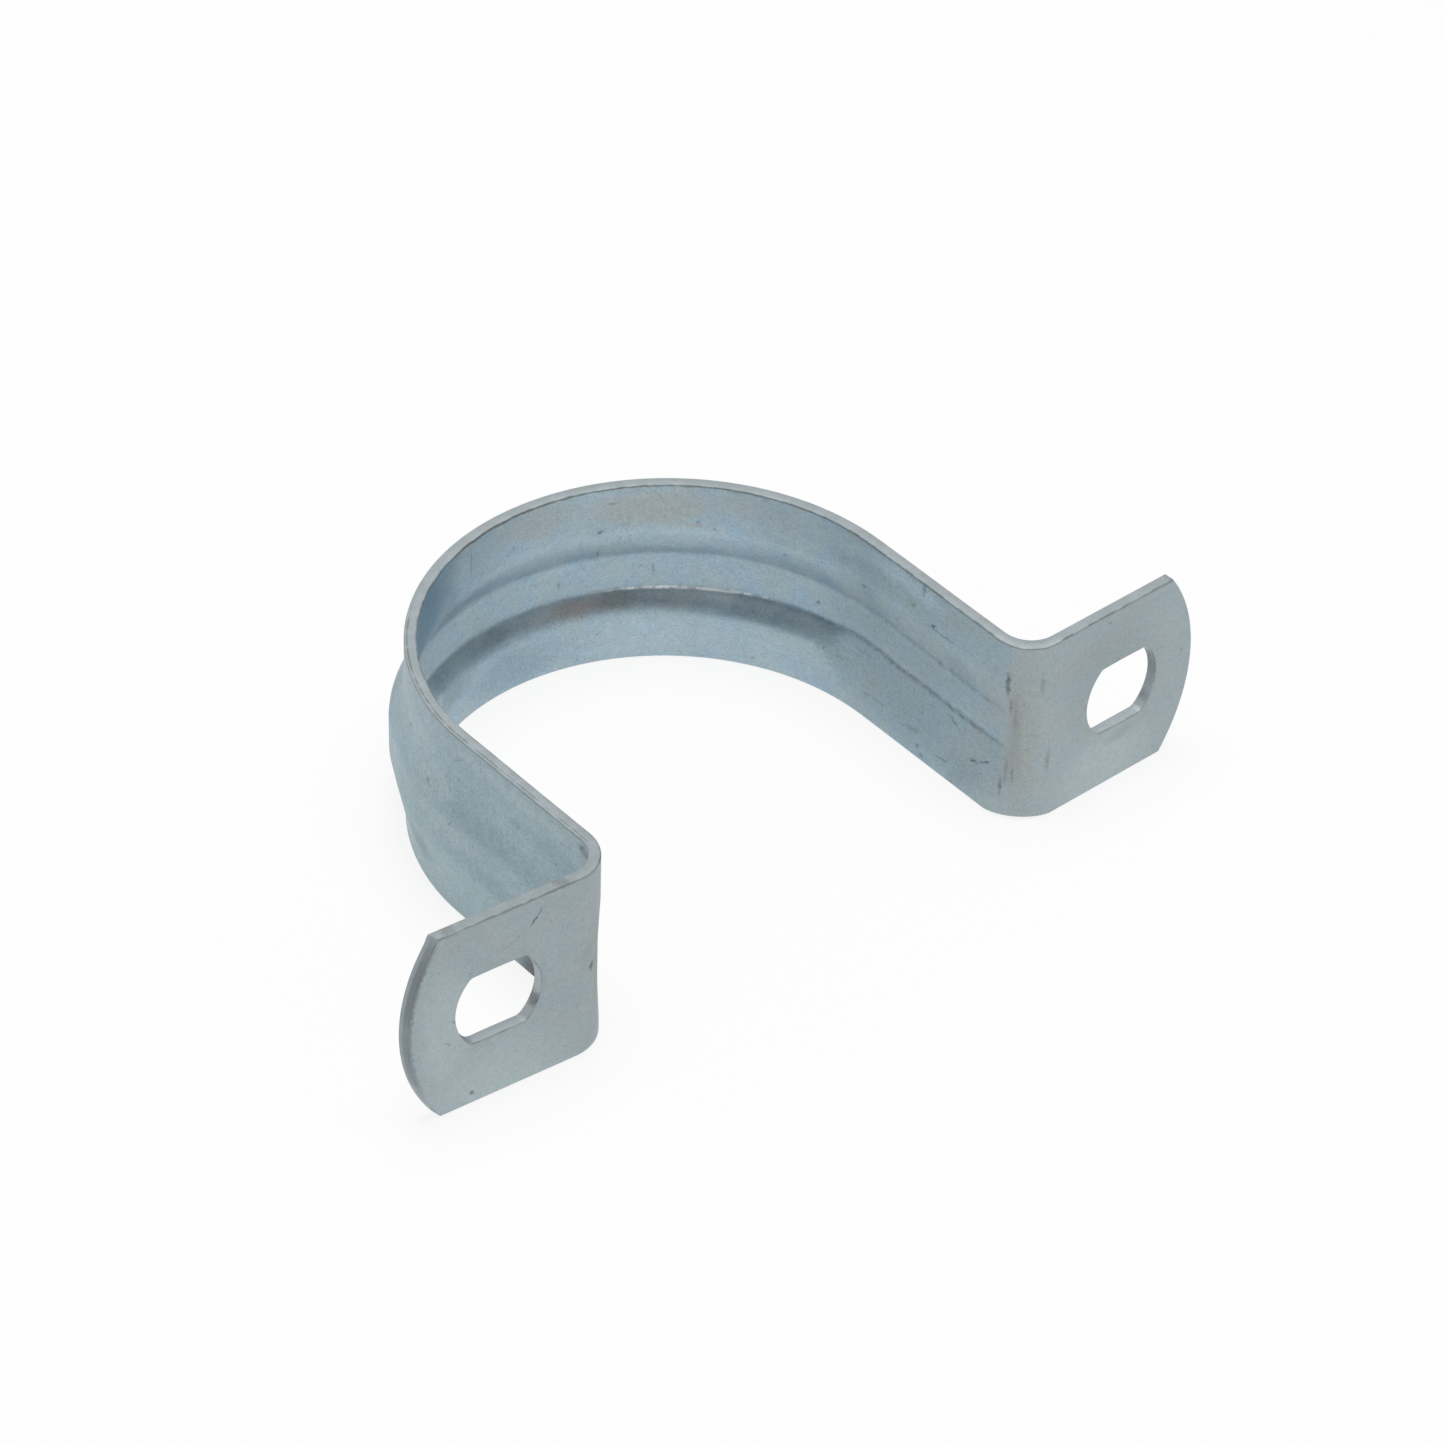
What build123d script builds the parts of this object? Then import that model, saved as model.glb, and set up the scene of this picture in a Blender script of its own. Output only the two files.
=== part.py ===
from build123d import *
import os
from math import atan2, cos, radians, sin, sqrt, tan

# Conduit clamp: one strip of zinc plated sheet steel. An arch goes over the conduit, two straight legs
# run down past it, and each leg turns outwards into a foot with one screw slot. A bead is pressed
# outwards along the arch and the legs to stiffen them.
# The conduit's axis is Z. The strip stands on its lower edge at z = 0, +X runs along the feet, and +Y
# points from the conduit's axis to the crown of the arch. Angles on the arch start at +X.

# driving dimensions, millimetres and degrees
conduit_diameter = 44.2       # outside diameter of the conduit that the arch seats on
strap_width = 19.25           # width of the strip, along the conduit
sheet = 1.1                   # thickness of the strip
leg_length = 16.6             # straight leg, from the end of the arch to the bend
bend_radius = 3.0             # inside radius where a leg turns into its foot
foot_end_radius = 16.5        # rounding of a foot's end, seen square to the foot

# the two feet as pressed: past a square turn, the tips rise towards the arch
right_turn_angle = 92.5
left_turn_angle = 93.9
right_foot_length = 16.4      # from the bend to the tip, along the middle of the foot
left_foot_length = 16.7

# screw slots: a round hole with two flats that run along the foot
slot_length = 8.5
slot_width = 7.2              # across the flats
slot_rise = 0.2               # middle of the slots above the middle of the strip
right_slot_to_tip = 8.4       # middle of the slot to the foot's tip
left_slot_to_tip = 9.1

# the pressed bead: its slopes are measured up the width of the strip
bead_depth = 1.4              # how far the bead stands out from the strip
bead_floor = 3.8              # width of its flat floor
bead_drop = 0.85              # middle of that floor below the middle of the strip, on the arch
right_bead_drop = 0.45        # the same on the right leg, because the bead was pressed a little askew
left_bead_drop = 0.8          # and on the left leg
upper_run = 2.8               # slope from the floor towards the upper land, on the arch
upper_blend = 1.0             # rounding from that slope into the upper land
lower_run = 1.4               # slope from the floor towards the lower land, on the arch
lower_blend = 1.0             # rounding from that slope into the lower land
leg_upper_run = 3.2           # the upper slope on the legs, where the bead spreads
leg_lower_land = 0.9          # plain strip that the lower slope leaves at the edge, on the legs
leg_blend = 1.0               # rounding of both slopes on the legs
leg_depth = 1.1               # depth of the bead once it has spread
leg_end_depth = 0.9           # depth that is left where a leg meets its bend

# the bead spreads between these angles of the arch, measured up from each leg
right_spread_top_angle = 17.0
right_spread_end_angle = 3.0
left_spread_top_angle = 39.0
left_spread_end_angle = 28.0

# sections along a curved stretch of the bead
spread_steps = 4
bend_steps = 6

seat_radius = conduit_diameter / 2
mid_width = strap_width / 2
arch_bead = (bead_drop, upper_run, upper_blend, lower_run, lower_blend)


def between(first, last, share):
    return first + (last - first) * share


def bead_on_leg(drop):
    lower = mid_width - drop - bead_floor / 2 - leg_blend - leg_lower_land
    return (drop, leg_upper_run, leg_blend, lower, leg_blend)


def across(x, y, angle):
    """Plane across the strip: its X leaves the inner face, its Y runs up the width."""
    out = (cos(radians(angle)), sin(radians(angle)), 0)
    return Plane(origin=(x, y, 0), x_dir=out, z_dir=(out[1], -out[0], 0))


def across_arch(angle):
    return across(seat_radius * cos(radians(angle)), seat_radius * sin(radians(angle)), angle)


def across_bend(angle):
    """Plane across the strip where the bend has turned it by this angle."""
    inner_face = bend_radius + sheet
    return across(seat_radius + inner_face * (1 - cos(radians(angle))),
                  -leg_length - inner_face * sin(radians(angle)), angle)


def face_line(offset, depth, drop, upper, upper_round, lower, lower_round):
    """Line of one face across the strip, from the lower edge to the upper one."""
    floor_low = mid_width - drop - bead_floor / 2 - offset * tan(atan2(depth, lower) / 2)
    floor_high = mid_width - drop + bead_floor / 2 + offset * tan(atan2(depth, upper) / 2)
    land_low = floor_low - lower
    land_high = floor_high + upper
    floor = offset + depth
    Line((offset, 0), (offset, land_low - lower_round))
    Bezier((offset, land_low - lower_round), (offset, land_low), (floor, floor_low))
    Line((floor, floor_low), (floor, floor_high))
    Bezier((floor, floor_high), (offset, land_high), (offset, land_high + upper_round))
    Line((offset, land_high + upper_round), (offset, strap_width))


def strap_section(plane, depth, bead):
    """Section of the strip with the bead at this depth."""
    with BuildSketch(plane) as section:
        with BuildLine():
            face_line(0, depth, *bead)
            face_line(sheet, depth, *bead)
            Line((0, 0), (sheet, 0))
            Line((0, strap_width), (sheet, strap_width))
        make_face()
    return section.sketch


def make_side(spread_top, spread_end, leg_bead, turn, foot_length, slot_to_tip):
    """End of the arch, leg, bend and foot on the +X side."""
    with BuildPart() as side:
        # the stretch of the arch where the bead spreads
        sections = []
        for step in range(spread_steps + 1):
            share = step / spread_steps
            plane = across_arch(between(spread_top, spread_end, share))
            bead = [between(arch, leg, share) for arch, leg in zip(arch_bead, leg_bead)]
            sections.append(strap_section(plane, between(bead_depth, leg_depth, share), bead))
        loft(sections)

        # the end of the arch and the straight leg
        leg_top = strap_section(across_arch(0), leg_depth, leg_bead)
        revolve(leg_top, axis=Axis.Z, revolution_arc=spread_end)
        loft([leg_top, strap_section(across_bend(0), leg_end_depth, leg_bead)], ruled=True)

        # the bend, where the bead dies out
        sections = []
        for step in range(bend_steps + 1):
            share = step / bend_steps
            depth = leg_end_depth * (1 - share)
            sections.append(strap_section(across_bend(turn * share), depth, leg_bead))
        loft(sections)

        # the foot, on a plane that lies in its mounting face and points to the tip
        start = across_bend(turn)
        foot_plane = Plane(origin=start.origin, x_dir=start.z_dir, z_dir=start.x_dir)
        corner = foot_length - foot_end_radius + sqrt(foot_end_radius**2 - mid_width**2)
        with BuildSketch(foot_plane):
            with BuildLine():
                Polyline((corner, 0), (0, 0), (0, -strap_width), (corner, -strap_width))
                ThreePointArc((corner, 0), (foot_length, -mid_width), (corner, -strap_width))
            make_face()
        extrude(amount=sheet)
        with BuildSketch(foot_plane):
            with Locations((foot_length - slot_to_tip, -mid_width - slot_rise)):
                Circle(slot_length / 2)
                Rectangle(slot_length, slot_width, mode=Mode.INTERSECT)
        extrude(amount=sheet, mode=Mode.SUBTRACT)
    return side.part


with BuildPart() as strap:
    # the arch, with the bead at its full size
    revolve(strap_section(across_arch(right_spread_top_angle), bead_depth, arch_bead), axis=Axis.Z,
            revolution_arc=180 - right_spread_top_angle - left_spread_top_angle)
    add(make_side(right_spread_top_angle, right_spread_end_angle, bead_on_leg(right_bead_drop),
                  right_turn_angle, right_foot_length, right_slot_to_tip))
    mirror(make_side(left_spread_top_angle, left_spread_end_angle, bead_on_leg(left_bead_drop),
                     left_turn_angle, left_foot_length, left_slot_to_tip), about=Plane.YZ)

strap.part.label = "strap"
os.makedirs("parts", exist_ok=True)
export_step(strap.part, "parts/strap.step")
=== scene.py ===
import bpy
import bmesh
from math import atan2, ceil, cos, degrees, hypot, pi, radians, sin, sqrt, tan
from mathutils import Matrix, Vector, noise


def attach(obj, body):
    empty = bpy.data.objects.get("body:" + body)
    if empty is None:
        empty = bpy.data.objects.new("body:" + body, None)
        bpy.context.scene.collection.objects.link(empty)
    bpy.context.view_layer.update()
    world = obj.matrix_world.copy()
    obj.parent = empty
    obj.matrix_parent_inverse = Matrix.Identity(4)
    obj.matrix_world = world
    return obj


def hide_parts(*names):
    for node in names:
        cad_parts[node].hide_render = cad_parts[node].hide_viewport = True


# Conduit clamp: one zinc plated steel strip, pressed, punched and bent
# the strip is built flat, as its blank, then gets its bead, its bends and its thickness

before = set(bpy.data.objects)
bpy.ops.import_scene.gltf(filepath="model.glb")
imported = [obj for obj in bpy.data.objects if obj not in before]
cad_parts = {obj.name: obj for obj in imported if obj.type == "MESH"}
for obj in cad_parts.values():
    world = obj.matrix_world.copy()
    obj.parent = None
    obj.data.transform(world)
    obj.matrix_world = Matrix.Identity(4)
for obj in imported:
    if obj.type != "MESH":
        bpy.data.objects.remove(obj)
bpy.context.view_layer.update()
mm = 0.001


def toLinear(hexColour):
    channels = [int(hexColour[i:i + 2], 16) / 255 for i in (1, 3, 5)]
    return [c / 12.92 if c <= 0.04045 else ((c + 0.055) / 1.055) ** 2.4 for c in channels] + [1.0]


def addNode(tree, kind, inputs, output=0, **settings):
    # inputs: socket name or number -> a value, or the output socket that another call gave back
    node = tree.nodes.new("ShaderNode" + kind)
    for name, value in settings.items():
        setattr(node, name, value)
    for key, value in inputs.items():
        socket = node.inputs[key]
        if isinstance(value, bpy.types.NodeSocket):
            tree.links.new(value, socket)
        else:
            socket.default_value = value
    return node.outputs[output] if node.outputs else None


# camera, fitted to the outline in the photograph
view = {
    "azimuth": 40.205,        # degrees from +Y towards +X
    "elevation": 38.414,
    "roll": 1.7775,
    "aim": (1.275, -5.339, 12.575),   # mm
    "distance": 518.62,       # mm
    "focalPixels": 6010.3,    # for the 1445 pixel frame
    "frameSize": 1445,
}


def makeCamera():
    az, el, roll = (radians(view[k]) for k in ("azimuth", "elevation", "roll"))
    forward = Vector((sin(az) * cos(el), cos(az) * cos(el), -sin(el)))
    right = Vector((cos(az), -sin(az), 0))
    up = right.cross(forward)
    tiltedRight = right * cos(roll) + up * sin(roll)
    tiltedUp = up * cos(roll) - right * sin(roll)
    data = bpy.data.cameras.new("camera")
    data.sensor_width = 36
    data.lens = view["focalPixels"] / view["frameSize"] * data.sensor_width
    data.clip_start = 0.01
    camera = bpy.data.objects.new("camera", data)
    bpy.context.scene.collection.objects.link(camera)
    turn = Matrix((tiltedRight, tiltedUp, -forward)).transposed().to_4x4()
    place = (Vector(view["aim"]) - forward * view["distance"]) * mm
    camera.matrix_world = Matrix.Translation(place) @ turn
    bpy.context.scene.camera = camera


makeCamera()
print("camera placed")

# the strip, in millimetres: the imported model's sizes, a few of them closer to the photographed one
strip = {
    "seatRadius": 22.1,
    "width": 19.25,
    "sheet": 1.1,
    "legLength": 16.6,
    "bendRadius": 3.0,        # inside radius, on the outer face of the leg
    "endRadius": 16.5,        # rounding of a foot's tip
    "slotLength": 8.05,
    "slotEndRadius": 4.6,     # the ends of a slot are a little flatter than a full round
    "slotTaper": 0.45,        # the punched hole is wider at the mounting face by this much
    "tipSlant": 0.3,          # the left tip's cut reaches further at the back
    "tipBurr": 0.2,           # and a little more at its upper corner
    "burrFrom": 18.3,         # up the width, where the burr starts
    "burrRun": 0.9,
    "edgeRound": 0.1,         # rounding of every sheared edge
    "dieRoll": 0.05,          # how far the punch drew the face down at a slot
    "drawReach": 1.5,         # a bend draws the strip's long edges in over this width
    "drawBehind": 0.3,        # share of that on the outer face
    "wave": 0.02,             # unevenness left by the press
    "waveSize": (7.0, 5.0),   # along and up the strip
    "waveFade": 3.0,          # how far into a bend it ends
    "waveSlice": 3.1,         # which slice of the noise it takes
}
# the mesh: steps in millimetres, and counts
meshing = {
    "step": 0.5,              # along the strip
    "bendStep": 0.3,
    "row": 0.26,              # across the strip
    "rimBands": (0.2, 0.35),  # narrow rows along every cut
    "tipSteps": 44,
    "footCuts": 24,           # along each long edge of a foot
    "slotSteps": 112,
    "sameColumn": 0.001,      # points this near along the strip are in one column
    "touching": 0.02,         # a point this near a cut is on it
    "drawnBack": 8,           # rounds that find a drawn point's place on the blank
    "sharpAngle": 60,         # degrees, between the faces at an edge that is rounded
    "cutBand": 0.45,          # a face of a cut lies within this distance of it
    "cutLean": 0.75,          # and faces along the sheet: cosine to the sheet's own normal
}
# the two sides as they came out of the press; angles are degrees above each leg
rightSide = {
    "sign": 1, "turn": 92.5, "foot": 16.6, "edgeDraw": 0.3,
    "slotToTip": 8.53, "slotRise": 0.0, "slotWidth": 6.8,
    "beadDrop": 0.45, "spreadTop": 17.0, "spreadEnd": 3.0, "beadFade": 5.0,
}
leftSide = {
    "sign": -1, "turn": 93.9, "foot": 16.7, "edgeDraw": 0.08,
    "slotToTip": 8.85, "slotRise": 0.33, "slotWidth": 6.75,
    "beadDrop": 0.8, "spreadTop": 39.0, "spreadEnd": 28.0, "beadFade": 4.6,
}
bead = {
    "depth": 1.4,
    "floor": 3.8,
    "drop": 0.85,
    "upperRun": 2.8,
    "upperBlend": 1.0,
    "lowerRun": 1.4,
    "lowerBlend": 1.0,
    "legUpperRun": 3.2,
    "legLowerLand": 0.9,
    "legBlend": 1.0,
    "legDepth": 1.1,
    "legEndDepth": 0.9,
    "corner": 0.22,           # rounding of the floor's two corners
}
faceRadius = strip["bendRadius"] + strip["sheet"]    # the bend, on the inner face
archHalf = pi / 2 * strip["seatRadius"]
legEnd = archHalf + strip["legLength"]
middle = strip["width"] / 2


def bendEnd(side):
    return legEnd + radians(side["turn"]) * faceRadius


def slotPlace(side):
    return bendEnd(side) + side["foot"] - side["slotToTip"]


def between(first, last, share):
    return first + (last - first) * share


def eased(share):
    share = min(max(share, 0), 1)
    return share * share * (3 - 2 * share)


def sideOf(s):
    return rightSide if s >= 0 else leftSide


def onStrip(s):
    # point and outward direction on the inner face, s millimetres from the crown
    side = sideOf(s)
    d = abs(s)
    if d < archHalf:
        angle = pi / 2 - d / strip["seatRadius"]
        x, y = strip["seatRadius"] * cos(angle), strip["seatRadius"] * sin(angle)
    elif d < legEnd:
        angle = 0
        x, y = strip["seatRadius"], archHalf - d
    else:
        angle = min((d - legEnd) / faceRadius, radians(side["turn"]))
        past = max(d - bendEnd(side), 0)
        x = strip["seatRadius"] + faceRadius * (1 - cos(angle)) + past * sin(angle)
        y = -strip["legLength"] - faceRadius * sin(angle) - past * cos(angle)
    return Vector((side["sign"] * x, y, 0)), Vector((side["sign"] * cos(angle), sin(angle), 0))


def slope(start, blend, run, height):
    # share of the bead's depth on one slope: a rounded foot, then a straight climb
    rest = height - start
    if rest <= 0:
        return 0
    if rest >= blend + run:
        return 1
    t = (sqrt(blend * blend + (run - blend) * rest) - blend) / (run - blend)
    return t * t


def beadShape(s):
    # depth, middle of the floor, and the two slopes at this place along the strip
    side = sideOf(s)
    d = abs(s)
    legLower = middle - side["beadDrop"] - bead["floor"] / 2 - bead["legBlend"] - bead["legLowerLand"]
    arch = (bead["depth"], bead["drop"], bead["upperRun"], bead["upperBlend"], bead["lowerRun"],
            bead["lowerBlend"])
    leg = (bead["legDepth"], side["beadDrop"], bead["legUpperRun"], bead["legBlend"], legLower,
           bead["legBlend"])
    angle = 90 - degrees(d / strip["seatRadius"])
    spread = eased((side["spreadTop"] - angle) / (side["spreadTop"] - side["spreadEnd"]))
    shape = [between(a, b, spread) for a, b in zip(arch, leg)]
    if d > archHalf:
        downLeg = min((d - archHalf) / strip["legLength"], 1)
        shape[0] = between(bead["legDepth"], bead["legEndDepth"], downLeg)
    if d > legEnd:
        shape[0] *= 1 - eased((d - legEnd) / side["beadFade"])
    return shape


def beadHeight(shape, w):
    depth, drop, upperRun, upperBlend, lowerRun, lowerBlend = shape
    floorMiddle = middle - drop
    total = 0
    samples = (-1, -0.5, 0, 0.5, 1)
    for sample in samples:
        at = w + sample * bead["corner"]
        low = slope(floorMiddle - bead["floor"] / 2 - lowerRun - lowerBlend, lowerBlend, lowerRun, at)
        high = slope(-(floorMiddle + bead["floor"] / 2 + upperRun + upperBlend), upperBlend, upperRun, -at)
        total += min(low, high)
    return depth * total / len(samples)


def spaced(start, end, step):
    count = max(ceil(abs(end - start) / step), 1)
    return [start + (end - start) * i / count for i in range(count + 1)]


def layGrid(mesh):
    # the arch, legs and bends as a flat sheet of even quads
    stations = spaced(-bendEnd(leftSide), -legEnd, meshing["bendStep"])[:-1]
    stations += spaced(-legEnd, legEnd, meshing["step"])
    stations += spaced(legEnd, bendEnd(rightSide), meshing["bendStep"])[1:]
    inner = sum(meshing["rimBands"]) + meshing["row"]
    rows = [0] + spaced(inner, strip["width"] - inner, meshing["row"]) + [strip["width"]]
    bmesh.ops.create_grid(mesh, x_segments=len(stations) - 1, y_segments=len(rows) - 1, size=0.5)
    for v in mesh.verts:
        column = round((v.co.x + 0.5) * (len(stations) - 1))
        row = round((v.co.y + 0.5) * (len(rows) - 1))
        v.co = (stations[column], rows[row], 0)


def layFoot(mesh, side):
    # the flat foot beyond a bend, with its rounded tip and its punched slot
    start = bendEnd(side)
    sign = side["sign"]
    near = [v for v in mesh.verts if abs(v.co.x - sign * start) < meshing["sameColumn"]]
    near.sort(key=lambda v: v.co.y)
    edges = [mesh.edges.get((a, b)) for a, b in zip(near, near[1:])]
    centre = start + side["foot"] - strip["endRadius"]
    half = atan2(middle, sqrt(strip["endRadius"] ** 2 - middle ** 2))
    corner = mesh.verts.new((sign * (centre + strip["endRadius"] * cos(half)), strip["width"], 0))
    swept = bmesh.ops.spin(mesh, geom=[corner], cent=(sign * centre, middle, 0), axis=(0, 0, 1),
                           angle=-sign * 2 * half, steps=meshing["tipSteps"])
    tip = swept["geom_last"][0]
    edges += [e for v in mesh.verts if v.is_wire or v in (corner, tip) for e in v.link_edges]
    longEdges = [mesh.edges.new((near[-1], corner)), mesh.edges.new((near[0], tip))]
    cut = bmesh.ops.subdivide_edges(mesh, edges=longEdges, cuts=meshing["footCuts"])
    edges += [e for e in cut["geom"] if isinstance(e, bmesh.types.BMEdge)]
    halfLength = strip["slotLength"] / 2
    slot = bmesh.ops.create_circle(mesh, segments=meshing["slotSteps"], radius=halfLength)["verts"]
    flat = side["slotWidth"] / 2
    endRadius = strip["slotEndRadius"]
    flatHalf = halfLength - endRadius + sqrt(endRadius ** 2 - flat ** 2)
    cornerAngle = atan2(flat, flatHalf)
    for v in slot:
        # the flats of the punch between its two rounded ends, their corners kept sharp
        angle = atan2(abs(v.co.y), abs(v.co.x))
        if angle > cornerAngle:
            x, y = flatHalf * (pi / 2 - angle) / (pi / 2 - cornerAngle), flat
        else:
            y = flat * angle / cornerAngle
            x = halfLength - endRadius + sqrt(endRadius ** 2 - y * y)
        v.co.x = x if v.co.x > 0 else -x
        v.co.y = y if v.co.y > 0 else -y
        v.co += Vector((sign * slotPlace(side), middle + side["slotRise"], 0))
    edges += list({e for v in slot for e in v.link_edges})
    bmesh.ops.triangle_fill(mesh, use_beauty=True, use_dissolve=False, edges=list(set(edges)))


def slotGap(s, w):
    # distance from a slot's cut, on the sheet's side of it
    side = sideOf(s)
    along = abs(abs(s) - slotPlace(side))
    across = abs(w - middle - side["slotRise"])
    end = hypot(along + strip["slotEndRadius"] - strip["slotLength"] / 2, across) - strip["slotEndRadius"]
    return max(end, across - side["slotWidth"] / 2)


def tipGap(s, w):
    # distance from a foot's rounded tip
    side = sideOf(s)
    if abs(s) < bendEnd(side):
        return strip["width"]
    fromCentre = hypot(abs(s) - bendEnd(side) - side["foot"] + strip["endRadius"], w - middle)
    return strip["endRadius"] - fromCentre


def cutGap(s, w):
    # distance from the nearest sheared edge: the two long ones, the tip or the slot
    return max(min(w, strip["width"] - w, tipGap(s, w), abs(slotGap(s, w))), 0)


def placeOnBlank(point):
    # back from the bent part to the flat blank: s, w and the depth through the sheet
    x, y, w = point / mm
    side = rightSide if x >= 0 else leftSide
    sign = side["sign"]
    turn = radians(side["turn"])
    x = abs(x)
    if y >= 0:
        s = (pi / 2 - atan2(y, x)) * strip["seatRadius"]
        out = hypot(x, y) - strip["seatRadius"]
    elif y > -strip["legLength"]:
        s = archHalf - y
        out = x - strip["seatRadius"]
    else:
        # from the bend's own axis, which is outside the leg
        dx, dy = strip["seatRadius"] + faceRadius - x, -strip["legLength"] - y
        angle = atan2(dy, dx)
        if angle < turn:
            s = legEnd + angle * faceRadius
            out = faceRadius - hypot(dx, dy)
        else:
            s = bendEnd(side) + dy * cos(turn) - dx * sin(turn)
            out = faceRadius - (dx * cos(turn) + dy * sin(turn))
    return sign * s, w, out


def pressOut(mesh):
    # the bead and the bends: every point of the blank goes to its place on the bent part
    shapes = {}
    for v in mesh.verts:
        s, w = v.co.x, v.co.y
        key = round(s, 4)
        if key not in shapes:
            shapes[key] = beadShape(s)
        point, out = onStrip(s)
        flatShare = eased((abs(s) - legEnd) / strip["waveFade"])
        height = beadHeight(shapes[key], w)
        wavePlace = Vector((s / strip["waveSize"][0], w / strip["waveSize"][1], strip["waveSlice"]))
        height += strip["wave"] * (1 - flatShare) * noise.noise(wavePlace)
        roll = max(1 - slotGap(s, w) / meshing["rimBands"][0], 0)
        height += strip["dieRoll"] * roll * roll
        v.co = (point + out * height + Vector((0, 0, w))) * mm


def edgePull(s, w, through):
    # how far a bend draws the strip's long edges in, most on its stretched face
    side = sideOf(s)
    turned = (abs(s) - legEnd) / (bendEnd(side) - legEnd)
    if not 0 < turned < 1:
        return 0
    nearEdge = max(1 - min(w, strip["width"] - w) / strip["drawReach"], 0) ** 2
    pull = side["edgeDraw"] * sin(pi * turned) * between(1, strip["drawBehind"], through) * nearEdge
    return -pull if w > middle else pull


def slantCuts(mesh):
    # cuts that aren't square to the sheet, and the edges that a bend draws in on its stretched face
    leftStart = bendEnd(leftSide)
    towardsTip = (onStrip(-leftStart - leftSide["foot"])[0] - onStrip(-leftStart)[0]).normalized()
    for v in mesh.verts:
        s, w, out = placeOnBlank(v.co)
        side = sideOf(s)
        through = min(max(out / strip["sheet"], 0), 1)
        rim = 1 - slotGap(s, w) / sum(meshing["rimBands"])
        if rim > meshing["touching"]:
            # the hole is wider at the mounting face and narrower at the back
            point = onStrip(s)[0]
            centre = onStrip(side["sign"] * slotPlace(side))[0]
            away = Vector((point.x - centre.x, point.y - centre.y, w - middle - side["slotRise"]))
            v.co += away.normalized() * strip["slotTaper"] * (0.5 - through) * min(rim, 1) * mm
        elif side is leftSide and through > 0.5 and tipGap(s, w) < meshing["touching"]:
            burr = eased((w - strip["burrFrom"]) / strip["burrRun"])
            v.co += towardsTip * (strip["tipSlant"] + strip["tipBurr"] * burr) * mm
        v.co.z += edgePull(s, w, through) * mm


def makeStrap():
    mesh = bmesh.new()
    layGrid(mesh)
    layFoot(mesh, rightSide)
    layFoot(mesh, leftSide)
    for face in mesh.faces:
        if face.normal.z < 0:
            face.normal_flip()
    print("blank laid out:", len(mesh.faces), "faces")

    # narrow bands along every cut, so that the edges can be rounded cleanly
    for band in meshing["rimBands"]:
        inner = [f for f in mesh.faces if not f.tag]
        ring = bmesh.ops.inset_region(mesh, faces=inner, thickness=band, use_boundary=True,
                                      use_even_offset=True)["faces"]
        for face in ring:
            face.tag = True
    pressOut(mesh)
    mesh.normal_update()
    bmesh.ops.solidify(mesh, geom=mesh.faces[:], thickness=strip["sheet"] * mm)
    slantCuts(mesh)
    mesh.normal_update()
    sharp = radians(meshing["sharpAngle"])
    rimEdges = [e for e in mesh.edges if len(e.link_faces) == 2 and e.calc_face_angle(0) > sharp]
    bmesh.ops.bevel(mesh, geom=rimEdges, offset=strip["edgeRound"] * mm, segments=3, profile=0.5,
                    affect="EDGES", material=-1)
    print("strip pressed, bent and thickened:", len(mesh.faces), "faces, cut edges:", len(rimEdges))

    data = bpy.data.meshes.new("pressedStrap")
    mesh.to_mesh(data)
    mesh.free()
    strap = bpy.data.objects.new("pressedStrap", data)
    bpy.context.scene.collection.objects.link(strap)
    places, walls, creases, gaps = [], [], [], []
    for v in data.vertices:
        s, w, out = placeOnBlank(v.co)
        shape = beadShape(s)
        through = max(min(out - beadHeight(shape, w), strip["sheet"]), 0)
        drawn = w
        for attempt in range(meshing["drawnBack"]):
            # back to where it was before the bend drew it in
            w = min(max(drawn - edgePull(s, w, through / strip["sheet"]), 0), strip["width"])
        gaps.append(cutGap(s, w))
        places += [s, w, through]
        walls.append(1 if slotGap(s, w) < strip["slotTaper"] else 0)
        floorMiddle = middle - shape[1]
        creases += [w - floorMiddle + bead["floor"] / 2, w - floorMiddle - bead["floor"] / 2, 0]
    # all the attributes are made before any is filled, because making one moves the others
    for name, kind in (("blankPlace", "FLOAT_VECTOR"), ("slotWall", "FLOAT"),
                       ("creaseGap", "FLOAT_VECTOR")):
        data.attributes.new(name, kind, "POINT")
    data.attributes["blankPlace"].data.foreach_set("vector", places)
    data.attributes["slotWall"].data.foreach_set("value", walls)
    data.attributes["creaseGap"].data.foreach_set("vector", creases)
    for polygon in data.polygons:
        polygon.use_smooth = True
        # a face of a cut is one beside it that isn't along the sheet
        if max(gaps[i] for i in polygon.vertices) < meshing["cutBand"]:
            outward = onStrip(placeOnBlank(polygon.center)[0])[1]
            polygon.material_index = 1 if abs(polygon.normal.dot(outward)) < meshing["cutLean"] else 0
    weighted = strap.modifiers.new("evenNormals", "WEIGHTED_NORMAL")
    weighted.mode = "FACE_AREA"
    weighted.weight = 50
    return strap


strap = makeStrap()
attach(strap, "root")
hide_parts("strap")

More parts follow.
